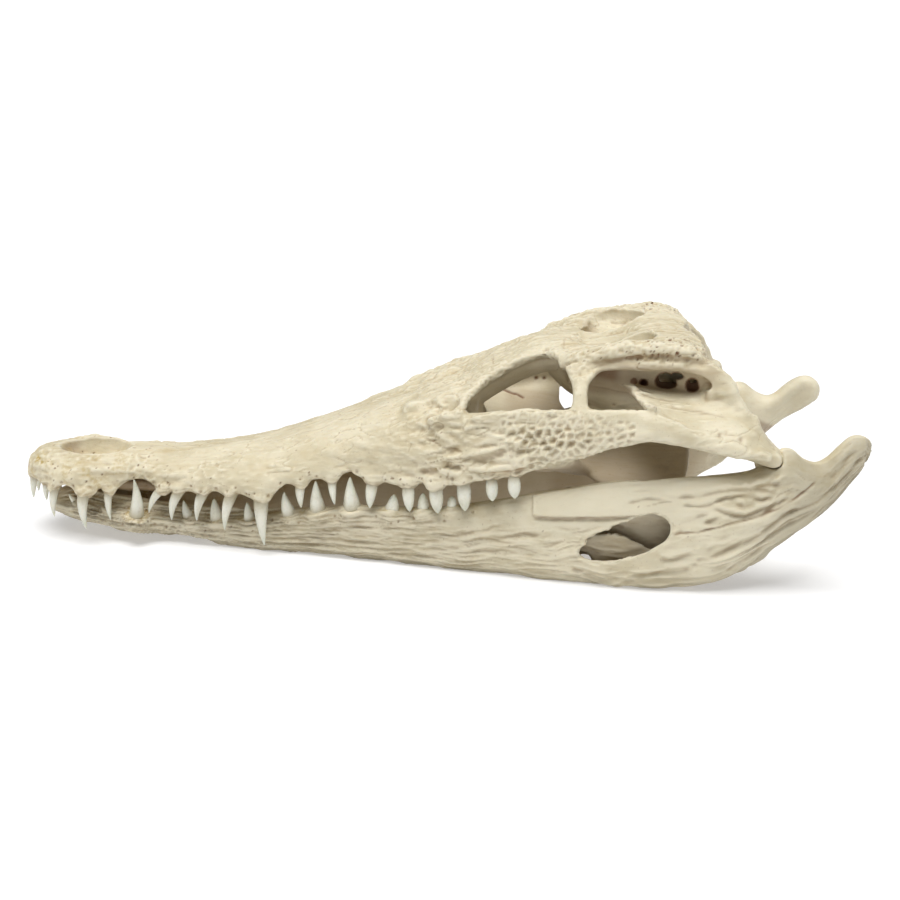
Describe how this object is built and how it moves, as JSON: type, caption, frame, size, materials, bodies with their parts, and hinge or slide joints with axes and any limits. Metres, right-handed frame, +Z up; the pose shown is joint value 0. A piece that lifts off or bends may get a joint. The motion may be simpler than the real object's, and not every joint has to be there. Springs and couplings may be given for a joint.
{
  "type": "crocodile skull",
  "caption": "Skull of a young adult crocodile with closed jaws: long toothed snout, open eye sockets, flat skull roof and a lower jaw with rear hooks.",
  "frame": {"origin": "middle of the skull's bounding box, at the surface it rests on", "axes": "+X from the tip of the snout to the back of the skull, +Y to the animal's right, +Z up"},
  "size_m": [0.419, 0.1421, 0.1204],
  "materials": {
    "bone": "dry cream bone",
    "jaw_bone": "dry cream bone",
    "teeth": "off-white enamel, faintly glossy"
  },
  "bodies": {
    "root": {"snout_tip": "bone", "snout": "bone", "forehead": "bone", "skull_table": "bone", "braincase": "bone", "palate": "bone", "cheek_left": "bone", "cheek_right": "bone", "quadrate_left": "bone", "quadrate_right": "bone", "jaw_front_left": "jaw_bone", "jaw_front_right": "jaw_bone", "jaw_rear_left": "jaw_bone", "jaw_rear_right": "jaw_bone"}
  },
  "joints": []
}
